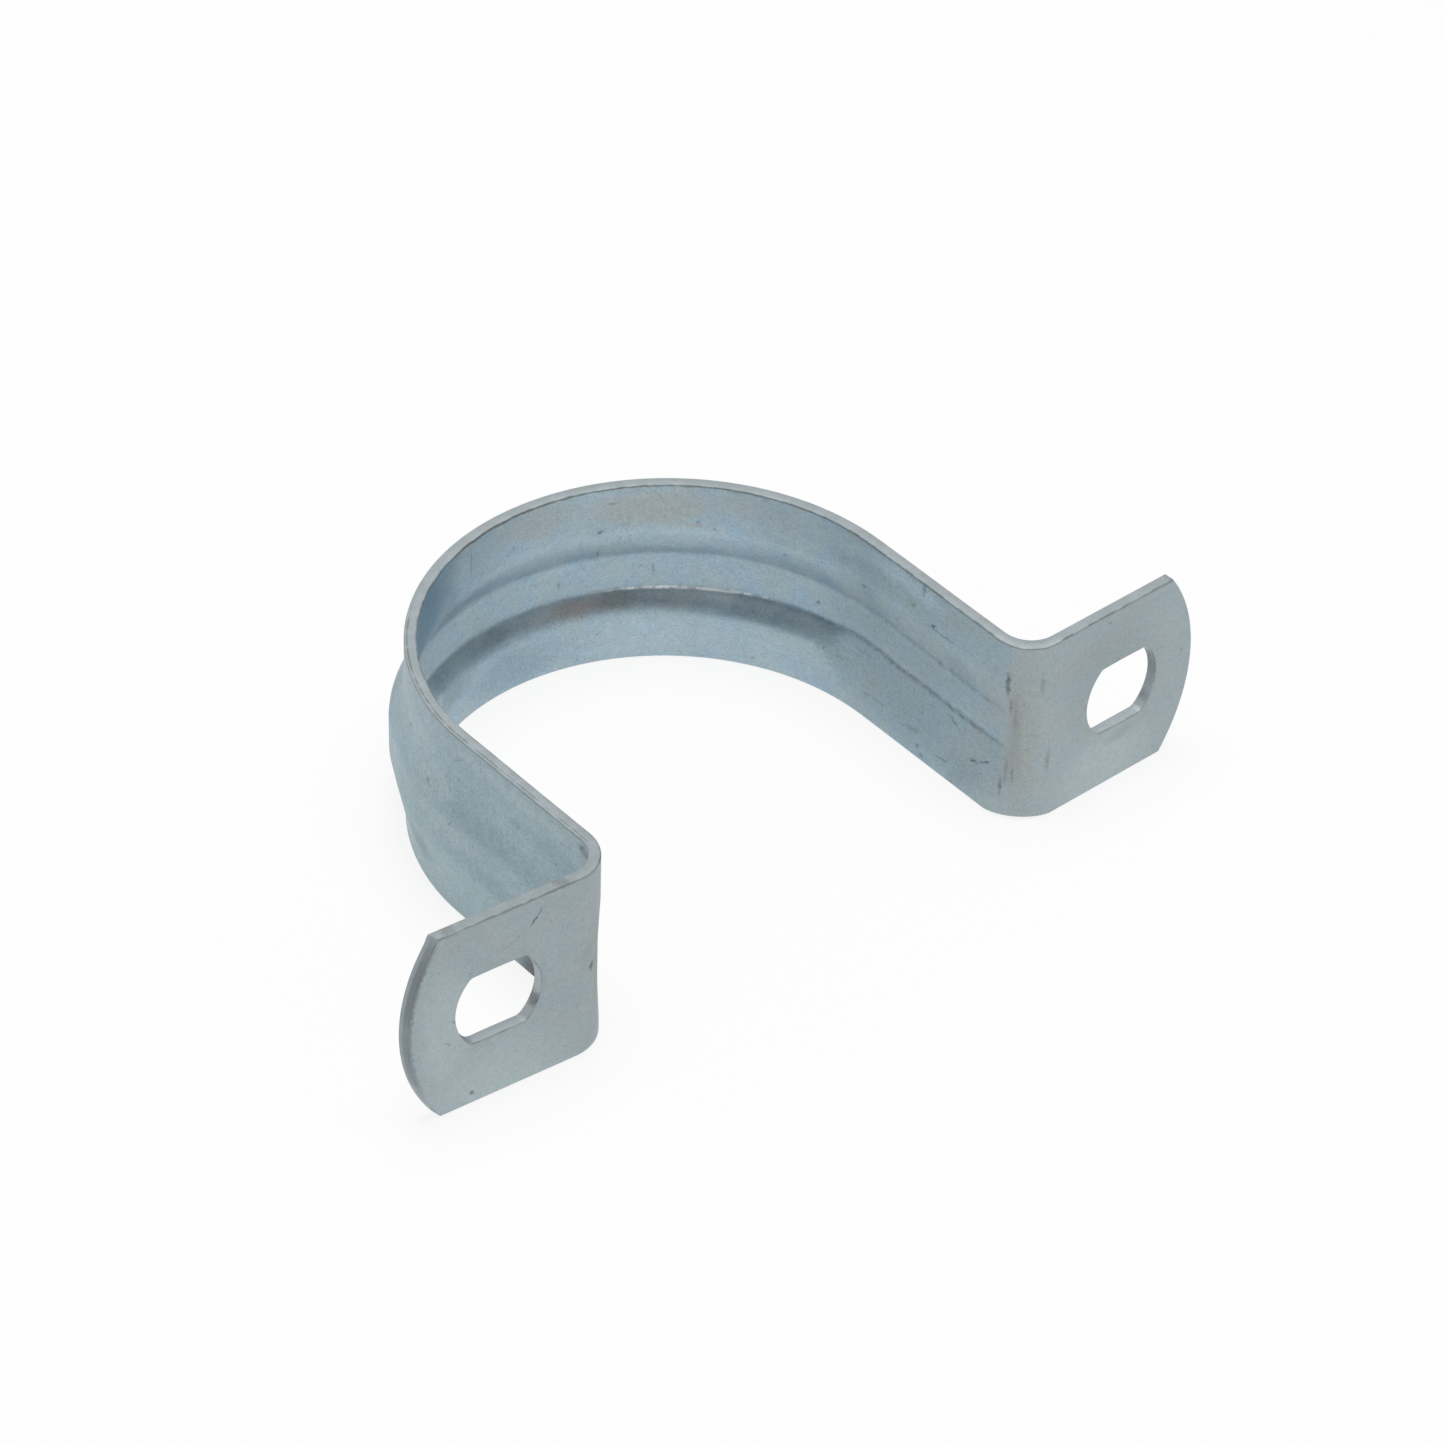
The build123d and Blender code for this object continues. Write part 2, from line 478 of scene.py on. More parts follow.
# the plating's colours and patterns
plating = {
    "arch": ("#A0B7C5", "#AABBC2"),   # bluer and greyer parts of the clouds
    # the legs' darker colours are painted shade, where they mirror the shaded floor under the arch
    "leg": ("#97ACB7", "#9FB0B5"),
    "foot": ("#9FADB3", "#A6B0B2"),
    "legRun": (26.0, 36.0),   # mm from the crown, over which the legs' colours come in
    "footRun": (50.0, 56.0),
    "outside": "#98ABB1",
    "outsideShare": 0.6,
    "faceRun": (0.4, 0.7),    # mm through the sheet, between which the looks change from inside to outside
    "faceApart": 9,           # how much faster the patterns run through the sheet, so its faces differ
    "mark": "#454E54",
    "brown": "#7C7D79",
    # near-white of the painted highlight on the bead's corner
    "paintedHighlight": "#F2F6F8",
    # colour of the painted dark reflection along the upper edge
    "edgeShade": "#6C6B66",
    "markOutline": (0.4, 0.65),       # mm, size and reach of the marks' ragged outlines
    "markBroken": 0.55,       # share of a mark that is left where the mottle breaks it up
    "speck": 0.5,             # mm
    "speckFrom": (0.67, 0.78),        # the noise's levels between which a speck comes in
    "speckStrength": 0.5,
    "calmRun": (50.0, 58.0),  # mm from the crown, over which the patterns calm down towards the feet
    "calm": 0.7,
    "roughness": (0.42, 0.54),
    "markRoughness": 0.2,     # more where it is marked
    "grainHeight": 0.01,      # mm
    "markDepth": 1.5,         # in grain heights
}
# noise in the plate: size in mm, detail, roughness, and how far it lightens and darkens the plate
platePatterns = {
    "grain": (0.24, 3.0, 0.7, 0.75),
    "mottle": (0.8, 3.0, 0.6, 0.3),
    "cloud": (2.8, 4.0, 0.6, 0.2),
    "broadCloud": (9.0, 2.0, 0.5, 0.18),
}
# the two dark lines that the press left along the bead's floor
pressLine = {
    "lower": 0.46,            # strengths
    "upper": 0.3,
    "width": 0.5,             # mm
    "wander": 0.7,            # mm, from side to side
    "wanderScale": 1.3,
    "shares": ((24.0, 33.0, 0.25, 1.0), (50.0, 54.0, 1.0, 0.0)),   # from and to mm off the crown
}
# the painted dark line at the upper edge, a painted reflection of the rounded corner: it reaches unevenly
# in, and is weaker past these runs from the crown
edgeShade = {
    "solid": 0.05,            # mm from the edge, at full strength
    "reach": (0.12, 0.5),     # mm
    "scale": 0.7,
    "runs": ((2.0, 14.0, 0.6), (28.0, 38.0, 0.6), (-6.0, -12.0, 0.4)),
}

# what has happened to the plate, and some painted light and shade, placed on the flat blank
# a mark is: s from the crown, w up the width, half length, half width, turn in degrees, strength
broadTints = {
    "deepBlue": ("#7697AC", [(-15, 16, 9, 6.5, 10, 0.75), (-10, 14.5, 5, 4.5, 0, 0.35)]),
    # painted shade: the bead's upper wall darker left of the crown, where it faces down
    "upperWallShade": ("#8A9FAE", [(-7, 12.3, 8, 1.5, 0, 0.75)]),
    "paleBlue": ("#B2C5CF", [
        (-7, 16.4, 1.6, 3, 15, 0.4), (8, 13.8, 18, 1.2, 0, 0.5), (14, 12.4, 6, 1.1, 0, 0.6),
        (12, 2.6, 8, 3.4, 0, 0.5), (20, 2.6, 11, 3.6, 0, 0.4), (38, 18.0, 9, 1.6, 0, 0.7)]),
    "tan": ("#A8B1B2", [
        (13, 16.9, 9, 2.8, 0, 0.9), (2, 17.4, 7, 2.2, 0, 0.7), (23, 17.6, 8, 2.0, 0, 0.5),
        (-31, 9.5, 4, 3, 0, 0.3)]),
    "slate": ("#8B9DA8", [
        (42, 3.5, 9, 4.5, 0, 0.3), (48, 2.2, 4, 3, 0, 0.6), (46.5, 12.3, 3.2, 2.6, 0, 0.55),
        (-8.5, 3.9, 4.5, 1.6, 0, 0.7), (40, 9.2, 15, 2.2, 0, 0.3)]),
    "bendGrey": ("#A1A6A5", [
        (54.6, 9.5, 2.4, 14, 0, 0.7), (-55, 9.5, 2.4, 14, 0, 0.5), (50, 3.5, 5, 4.5, 0, 0.25),
        (51, 12, 3, 4, 0, 0.3)]),
    # painted light: the feet lighter low down and at the left tip, standing in for the bright floor that
    # they mirror
    "paintedFloorLight": ("#B3C0C3", [
        (64, 1.5, 9, 6, 0, 0.6), (-66, 2.0, 10, 6.5, 0, 0.6), (-71, 9, 4, 9, 0, 0.8)]),
    "rightGrey": ("#98A3A7", [(64, 13, 8, 9, 0, 0.5)]),
    "lowBlue": ("#8FA6B5", [(-1, 2.2, 7, 3, 0, 0.65)]),
}
wallTints = {
    "slateWall": ("#8FA3B1", [(22, 5.95, 4, 1.3, 0, 0.3)]),
    # painted light: paler patches on the bead's dark lower wall, where its dark reflection fades, the last
    # of them at its left end
    "paleWallLight": ("#B4C6CF", [
        (29, 5.7, 4.5, 1.7, 0, 0.8), (-8, 6.2, 6.5, 1.6, 0, 0.8), (0, 6.1, 4, 1.4, 0, 0.4)]),
    "wallEndLight": ("#C6D4DB", [(-12, 6.0, 2.8, 2.0, 0, 0.9)]),
    "soot": ("#868E92", [
        (-1.8, 6.1, 3.2, 0.8, 0, 0.3), (10, 6.15, 4.0, 1.2, 0, 0.85), (14.5, 6.1, 5, 1.1, 0, 0.5)]),
    "rust": ("#A8A3A1", [
        (6.2, 6.0, 3.4, 1.1, 0, 0.75), (2.6, 5.9, 3.0, 1.0, 0, 0.2), (17, 14.9, 1.3, 0.4, 0, 0.5)]),
    "smudge": ("#949EA0", [
        (66, 4.8, 2.6, 0.8, 0, 0.4), (31.5, 15.8, 1.6, 0.9, 0, 0.35), (-61.6, 10.5, 0.7, 3, 0, 0.3),
        (-63.6, 12.5, 1.0, 1.6, 40, 0.4), (-57.2, 10.5, 1.0, 2.2, 10, 0.4)]),
}
outerTints = {
    "band": ("#8196A1", [
        (-42, 7.6, 10, 1.7, 0, 0.3), (-40, 12.0, 12, 1.6, 0, 0.35), (-48, 15, 6, 1.8, 0, 0.35),
        (-17, 10.5, 4, 5, 0, 0.35), (-29, 4.0, 3.2, 2.4, 0, 0.6)]),
    "paleBand": ("#A9B6BA", [
        (-34, 9.8, 7, 1.5, 0, 0.4), (-27, 15.0, 6, 2, 0, 0.5), (-41, 17.8, 14, 0.9, 0, 0.5),
        (-31.5, 12.6, 3.4, 2.6, 0, 0.6)]),
    "greenish": ("#98B0B4", [(-27.5, 7.0, 5.0, 4.0, 0, 0.7), (-36, 5, 6, 4, 0, 0.6)]),
    "green": ("#88ABAC", [(-31.5, 4.6, 1.4, 1.0, 0, 0.4)]),
    # painted shade: a dark patch low on the outside of the left leg, by the bend
    "paintedShade": ("#63676A", [(-46, 0.4, 4.0, 4.6, 0, 0.95)]),
}
marks = [
    (43.5, 15.4, 0.4, 0.28, 0, 1.0), (44.8, 15.2, 3.2, 0.16, 2, 0.4), (28.1, 8.4, 0.35, 0.3, 0, 0.6),
    (34.1, 14.1, 0.45, 0.28, 20, 0.5), (37.6, 16.3, 0.35, 0.2, 0, 0.4),
    (38.1, 12.7, 0.35, 0.2, 0, 0.4), (40.9, 16.2, 0.35, 0.2, 45, 0.5), (42.1, 18.4, 0.3, 1.0, 20, 0.4),
    (49.3, 3.9, 0.7, 0.24, 15, 0.8), (50.6, 4.5, 1.2, 0.2, 35, 0.7), (46.4, 6.0, 1.4, 0.18, -25, 0.45),
    (53.1, 14.6, 0.3, 2.0, 4, 0.7), (53.4, 12.2, 0.25, 1.6, -6, 0.45), (52.9, 3.2, 0.3, 1.3, -45, 0.5),
    (54.0, 4.7, 0.22, 1.2, -20, 0.4), (42.3, 1.3, 0.4, 0.3, 0, 0.5), (42.9, 0.7, 0.5, 0.25, 0, 0.5),
    (22.6, 1.0, 0.4, 0.3, 0, 0.4), (8.4, 14.6, 0.5, 0.22, 20, 0.6), (9.5, 17.5, 0.8, 0.2, 0, 0.3),
    (8.5, 11.5, 0.25, 0.6, 0, 0.4), (13.4, 8.9, 0.2, 0.8, 0, 0.3), (5.1, 8.4, 0.2, 0.8, -15, 0.3),
    (-5.7, 17.0, 0.18, 1.8, 8, 0.4), (-61.75, 17.7, 0.35, 0.16, 42, 0.7),
    (-62.5, 16.85, 0.5, 0.24, 45, 0.8), (-62.1, 17.3, 0.9, 0.1, 44, 0.5),
    (-64.8, 15.5, 2.4, 0.14, 24, 0.25), (-68.6, 1.1, 0.3, 0.4, 0, 0.7),
    (-56.5, 9.1, 0.4, 0.7, 30, 0.7), (-71.0, 7.6, 0.8, 0.2, -20, 0.3), (36, 2.6, 2.2, 0.2, 5, 0.25),
    (41, 2.5, 1.9, 0.22, 10, 0.35), (45.5, 1.8, 1.5, 0.22, 10, 0.35),
]
# dark marks on the outer face; the one in the left bend's inside corner, near the upper edge, is painted
# shade
outerMarksAndShade = [
    (-31, 12.4, 0.8, 0.22, 30, 0.5), (-42.6, 15.1, 1.2, 0.6, -10, 0.25),
    (-34.8, 17, 0.8, 0.2, -40, 0.3), (-28, 4.5, 4, 2.5, 0, 0.12), (-52.2, 18.3, 1.6, 0.8, 0, 0.6),
]
# painted highlights: near-white dashes where the light catches the bead's rounded corner
highlightDashes = [
    (15.5, 6.87, 8.5, 0.2, 0, 1.0), (21.2, 6.95, 1.8, 0.18, 0, 0.9), (23.3, 7.0, 0.8, 0.16, 0, 0.6),
]
streaks = [
    (54.0, 9.0, 1.0, 8, 0, 0.16), (53.9, 11, 0.3, 3.5, 2, 0.4), (56.2, 15.0, 0.3, 1.6, 0, 0.35),
    (57.2, 6.5, 0.35, 2.0, 0, 0.4), (53.3, 5, 0.3, 2.4, -8, 0.4), (-55.5, 8, 0.8, 7, 0, 0.2),
]

# size and reach of a group's ragged outlines in mm, their detail, and its depth through the sheet
tintGroups = [
    (broadTints, 3.5, 1.6, 1.0, 0.0),
    (wallTints, 0.6, 0.7, 3.0, 0.0),
    (outerTints, 1.2, 1.2, 3.0, strip["sheet"]),
]
markCore = 0.25               # share of a mark's size that has its full strength
markThrough = 0.4             # mm, from a mark's own depth to where it ends


def startMaterial(name):
    material = bpy.data.materials.new(name)
    material.use_nodes = True
    material.node_tree.nodes.clear()
    return material, material.node_tree


def raggedPlace(tree, place, size, reach, detail=3.0):
    # the place on the blank, shifted a little by noise, so that a mark has a natural outline
    wander = addNode(tree, "TexNoise", {"Vector": place, "Scale": 1 / size, "Detail": detail}, "Color")
    centred = addNode(tree, "VectorMath", {0: wander, 1: (0.5, 0.5, 0.5)}, operation="SUBTRACT")
    return addNode(tree, "VectorMath", {0: centred, 1: (reach, reach, 0), 2: place},
                   operation="MULTIPLY_ADD")


def markMask(tree, place, places, depth=0.0):
    # soft ellipses at places on the blank, on the face at this depth through the sheet
    fromCrown = addNode(tree, "SeparateXYZ", {0: place}, "X")
    along = addNode(tree, "CombineXYZ", {0: fromCrown, 1: fromCrown, 2: fromCrown})
    total = None
    for s, w, halfLength, halfWidth, turn, strength in places:
        lean = tan(radians(turn))
        leaned = place
        if turn:
            leaned = addNode(tree, "VectorMath", {0: along, 1: (0, -lean, 0), 2: place},
                             operation="MULTIPLY_ADD")
        scale = (1 / halfLength, 1 / halfWidth, 1 / markThrough)
        offset = (-s * scale[0], (lean * s - w) * scale[1], -depth * scale[2])
        local = addNode(tree, "VectorMath", {0: leaned, 1: scale, 2: offset}, operation="MULTIPLY_ADD")
        far = addNode(tree, "VectorMath", {0: local}, "Value", operation="LENGTH")
        mask = addNode(tree, "MapRange", {"Value": far, "From Min": markCore, "From Max": 1.0,
                                          "To Min": strength, "To Max": 0.0},
                       interpolation_type="SMOOTHSTEP")
        if total is not None:
            mask = addNode(tree, "Math", {0: total, 1: mask}, operation="MAXIMUM")
        total = mask
    return total


def edgeLine(tree, s, w, place):
    # strength of the painted dark line, a painted reflection: 1 at the upper edge, out at an uneven
    # distance from it
    low, high = edgeShade["reach"]
    wander = addNode(tree, "TexNoise", {"Vector": place, "Scale": edgeShade["scale"], "Detail": 5.0,
                                        "Roughness": 0.65}, "Fac")
    reach = addNode(tree, "MapRange", {"Value": wander, "From Min": 0.3, "From Max": 0.7, "To Min": low,
                                       "To Max": high}, clamp=False)
    gap = addNode(tree, "Math", {0: strip["width"], 1: w}, operation="SUBTRACT")
    line = addNode(tree, "MapRange", {"Value": gap, "From Min": edgeShade["solid"], "From Max": reach,
                                      "To Min": 1.0, "To Max": 0.0}, interpolation_type="SMOOTHSTEP")
    for start, end, last in edgeShade["runs"]:
        share = addNode(tree, "MapRange", {"Value": s, "From Min": start, "From Max": end, "To Min": 1.0,
                                           "To Max": last})
        line = addNode(tree, "Math", {0: line, 1: share}, operation="MULTIPLY")
    return line


def pressLines(tree, place, along):
    # soft dark lines at both corners of the bead's floor, plain on the legs and faint on the arch
    wander = pressLine["wander"]
    crease = addNode(tree, "Attribute", {}, "Vector", attribute_name="creaseGap")
    wobble = addNode(tree, "TexNoise", {"Vector": place, "Scale": pressLine["wanderScale"], "Detail": 4.0},
                     "Color")
    crease = addNode(tree, "VectorMath", {0: wobble, 1: (wander, wander, 0), 2: crease},
                     operation="MULTIPLY_ADD")
    crease = addNode(tree, "VectorMath", {0: crease, 1: (wander / 2, wander / 2, 0)}, operation="SUBTRACT")
    gaps = addNode(tree, "SeparateXYZ", {0: crease}).node.outputs
    lines = 0.0
    for gap, strength in ((gaps["X"], pressLine["lower"]), (gaps["Y"], pressLine["upper"])):
        off = addNode(tree, "Math", {0: gap}, operation="ABSOLUTE")
        line = addNode(tree, "MapRange", {"Value": off, "From Min": 0.0, "From Max": pressLine["width"],
                                          "To Min": strength, "To Max": 0.0},
                       interpolation_type="SMOOTHSTEP")
        lines = addNode(tree, "Math", {0: line, 1: lines}, operation="MAXIMUM")
    for start, end, first, last in pressLine["shares"]:
        share = addNode(tree, "MapRange", {"Value": along, "From Min": start, "From Max": end,
                                           "To Min": first, "To Max": last},
                        interpolation_type="SMOOTHSTEP")
        lines = addNode(tree, "Math", {0: lines, 1: share}, operation="MULTIPLY")
    return lines


def besideTornTip(tree, place, ragged):
    # the left tip's torn cut also darkens the mounting face beside it
    tipCentre = -bendEnd(leftSide) - leftSide["foot"] + strip["endRadius"]
    fromCentre = addNode(tree, "VectorMath", {0: ragged, 1: (1, 1, 0), 2: (-tipCentre, -middle, 0)},
                         operation="MULTIPLY_ADD")
    far = addNode(tree, "VectorMath", {0: fromCentre}, "Value", operation="LENGTH")
    start, end = cutEdge["tornBeside"]
    beside = addNode(tree, "MapRange", {"Value": far, "From Min": strip["endRadius"] - start,
                                        "From Max": strip["endRadius"] - end},
                     interpolation_type="SMOOTHSTEP")
    return addNode(tree, "Math", {0: beside, 1: markMask(tree, place, tipMarks)}, operation="MULTIPLY")


def makeZinc():
    # zinc electroplate on cold rolled strip, blue passivated: satin, cloudy, with a fine even grain
    material, tree = startMaterial("zincPlate")
    place = addNode(tree, "Attribute", {}, "Vector", attribute_name="blankPlace")
    s, w, through = addNode(tree, "SeparateXYZ", {0: place}).node.outputs
    along = addNode(tree, "Math", {0: s}, operation="ABSOLUTE")

    # the two faces of the sheet are kept apart, so that their patterns differ
    apart = addNode(tree, "VectorMath", {0: place, 1: (1, 1, plating["faceApart"])}, operation="MULTIPLY")
    patterns, level = {}, 0.0
    for name, (size, detail, roughness, depth) in platePatterns.items():
        patterns[name] = addNode(tree, "TexNoise", {"Vector": apart, "Scale": 1 / size, "Detail": detail,
                                                    "Roughness": roughness}, "Fac")
        part = addNode(tree, "MapRange", {"Value": patterns[name], "To Min": -depth / 2,
                                          "To Max": depth / 2}, clamp=False)
        level = addNode(tree, "Math", {0: part, 1: level}, operation="ADD")

    # the arch is bluest, the legs are darker, a painted shade, and the bends and the feet are greyer
    cloudShare = addNode(tree, "MapRange", {"Value": patterns["cloud"], "From Min": 0.36,
                                            "From Max": 0.64}, interpolation_type="SMOOTHSTEP")
    colour = None
    for part, run in (("arch", None), ("leg", plating["legRun"]), ("foot", plating["footRun"])):
        blue, grey = plating[part]
        here = addNode(tree, "Mix", {0: cloudShare, 6: toLinear(blue), 7: toLinear(grey)}, 2,
                       data_type="RGBA")
        if run:
            share = addNode(tree, "MapRange", {"Value": along, "From Min": run[0], "From Max": run[1]},
                            interpolation_type="SMOOTHSTEP")
            here = addNode(tree, "Mix", {0: share, 6: colour, 7: here}, 2, data_type="RGBA")
        colour = here
    inner, outer = plating["faceRun"]
    outside = addNode(tree, "MapRange", {"Value": through, "From Min": inner, "From Max": outer,
                                         "To Max": plating["outsideShare"]})
    colour = addNode(tree, "Mix", {0: outside, 6: colour, 7: toLinear(plating["outside"])}, 2,
                     data_type="RGBA")
    for group, size, reach, detail, depth in tintGroups:
        ragged = raggedPlace(tree, place, size, reach, detail)
        for tintColour, places in group.values():
            mask = markMask(tree, ragged, places, depth)
            colour = addNode(tree, "Mix", {0: mask, 6: colour, 7: toLinear(tintColour)}, 2,
                             data_type="RGBA")

    # the patterns lighten and darken the plate a little, least on the feet
    start, end = plating["calmRun"]
    calm = addNode(tree, "MapRange", {"Value": along, "From Min": start, "From Max": end, "To Min": 1.0,
                                      "To Max": plating["calm"]})
    level = addNode(tree, "Math", {0: level, 1: calm, 2: 1.0}, operation="MULTIPLY_ADD")
    colour = addNode(tree, "VectorMath", {0: colour, "Scale": level}, operation="SCALE")

    # sparse dark specks, the placed marks and the press lines, all broken up by the mottle
    low, high = plating["speckFrom"]
    speckNoise = addNode(tree, "TexNoise", {"Vector": apart, "Scale": 1 / plating["speck"], "Detail": 2.0},
                         "Fac")
    dark = addNode(tree, "MapRange", {"Value": speckNoise, "From Min": low, "From Max": high,
                                      "To Max": plating["speckStrength"]}, interpolation_type="SMOOTHSTEP")
    tight = raggedPlace(tree, place, *plating["markOutline"])
    inside = addNode(tree, "MapRange", {"Value": through, "From Min": inner, "From Max": outer,
                                        "To Min": 1.0, "To Max": 0.0})
    lines = addNode(tree, "Math", {0: pressLines(tree, place, along), 1: inside}, operation="MULTIPLY")
    for mask in (markMask(tree, tight, marks), markMask(tree, tight, outerMarksAndShade, strip["sheet"]), lines):
        dark = addNode(tree, "Math", {0: dark, 1: mask}, operation="MAXIMUM")
    broken = addNode(tree, "MapRange", {"Value": patterns["mottle"], "From Min": 0.3, "From Max": 0.6,
                                        "To Min": 1.0, "To Max": plating["markBroken"]})
    dark = addNode(tree, "Math", {0: dark, 1: broken}, operation="MULTIPLY")

    # over them brown streaks, near-white dashes of painted highlight on the bead's corner, and a painted
    # dark reflection along the upper edge
    dashes = addNode(tree, "MapRange", {"Value": patterns["mottle"], "From Min": 0.36, "From Max": 0.56,
                                        "To Min": 0.25, "To Max": 1.0}, interpolation_type="SMOOTHSTEP")
    # the painted highlight, broken up by the mottle
    paintedHighlight = addNode(tree, "Math", {0: markMask(tree, place, highlightDashes), 1: dashes}, operation="MULTIPLY")
    for mask, hexColour in ((dark, plating["mark"]), (markMask(tree, tight, streaks), plating["brown"]),
                            (paintedHighlight, plating["paintedHighlight"]), (edgeLine(tree, s, w, apart), plating["edgeShade"]),
                            (besideTornTip(tree, place, tight), cutEdge["torn"])):
        colour = addNode(tree, "Mix", {0: mask, 6: colour, 7: toLinear(hexColour)}, 2, data_type="RGBA")

    smooth, dull = plating["roughness"]
    rough = addNode(tree, "MapRange", {"Value": patterns["cloud"], "From Min": 0.3, "From Max": 0.7,
                                       "To Min": smooth, "To Max": dull}, clamp=False)
    rough = addNode(tree, "Math", {0: dark, 1: plating["markRoughness"], 2: rough},
                    operation="MULTIPLY_ADD")
    height = addNode(tree, "Math", {0: dark, 1: -plating["markDepth"], 2: patterns["grain"]},
                     operation="MULTIPLY_ADD")
    bump = addNode(tree, "Bump", {"Strength": 1.0, "Distance": plating["grainHeight"] * mm,
                                  "Height": height})
    shader = addNode(tree, "BsdfPrincipled", {"Base Color": colour, "Metallic": 1.0, "Roughness": rough,
                                              "Normal": bump})
    addNode(tree, "OutputMaterial", {"Surface": shader})
    return material


cutEdge = {
    "bright": "#B4BEC2",
    "dull": "#ACB6B9",
    "slot": "#C2CBCF",
    "torn": "#838B90",
    "dark": "#5F6364",
    "metallic": 0.6,          # the fracture scatters light more than the plate does
    "roughness": 0.6,
    "patch": 1.25,            # mm
    "streak": 0.2,            # mm between streaks of the fracture
    "streakLevels": (0.85, 1.15),
    "streakHeight": 0.008,    # mm
    "sideLevels": ((20.0, 45.0, 1.0, 0.98), (-60.0, -40.0, 0.86, 1.0)),   # from and to mm off the crown
    "stainOutline": (0.6, 0.8),       # mm, size and reach of the stains' ragged outlines
    "stainBroken": 0.55,      # share of a stain that is left where the streaks break it up
    "tornRun": (0.55, 0.8),   # mm through the sheet, between which the torn half ends
    "tornLeft": 0.15,         # share of it that is left past there
    "tornBeside": (0.4, 0.1),         # mm from the rim, where it comes in on the mounting face
    "borders": ((0.18, 0.02, 0.75), (0.98, 1.08, 0.35)),   # mm through the sheet, and strength
    "borderFaint": 0.25,      # the least that is left of a broken line
    "shearLine": 0.83,        # mm through the sheet, where the shear let go
    "shearWidth": (0.01, 0.12),       # mm, its core and its soft border
    "shearStrength": 0.65,
    "shearRuns": ((-12.0, -20.0), (-54.0, -50.0)),         # mm from the crown
}
tipMarks = [(-74, 14.5, 3.5, 8, 0, 1.0), (-75, 8, 3, 8, 0, 0.75), (-73.5, 18, 2.5, 4, 0, 0.8)]
# stains on the cut faces; the dark spot at the lower left end of the left slot is painted shade
cutStainsAndShade = [
    (-62.0, 8.0, 1.0, 1.0, 0, 0.9), (-69.3, 6.8, 0.7, 0.9, 0, 0.6), (-62, 12.5, 0.9, 1.8, 0, 0.7),
    (71.6, 18.6, 0.6, 0.6, 0, 0.6), (55, 19.1, 3.2, 2, 0, 0.36), (70.0, 11.0, 1.3, 3.4, 0, 0.75),
    (69.6, 7.0, 0.6, 0.8, 0, 0.4), (-59.5, 19.2, 1.0, 0.6, 0, 0.4), (-70.5, 19.2, 0.9, 0.6, 0, 0.4),
]


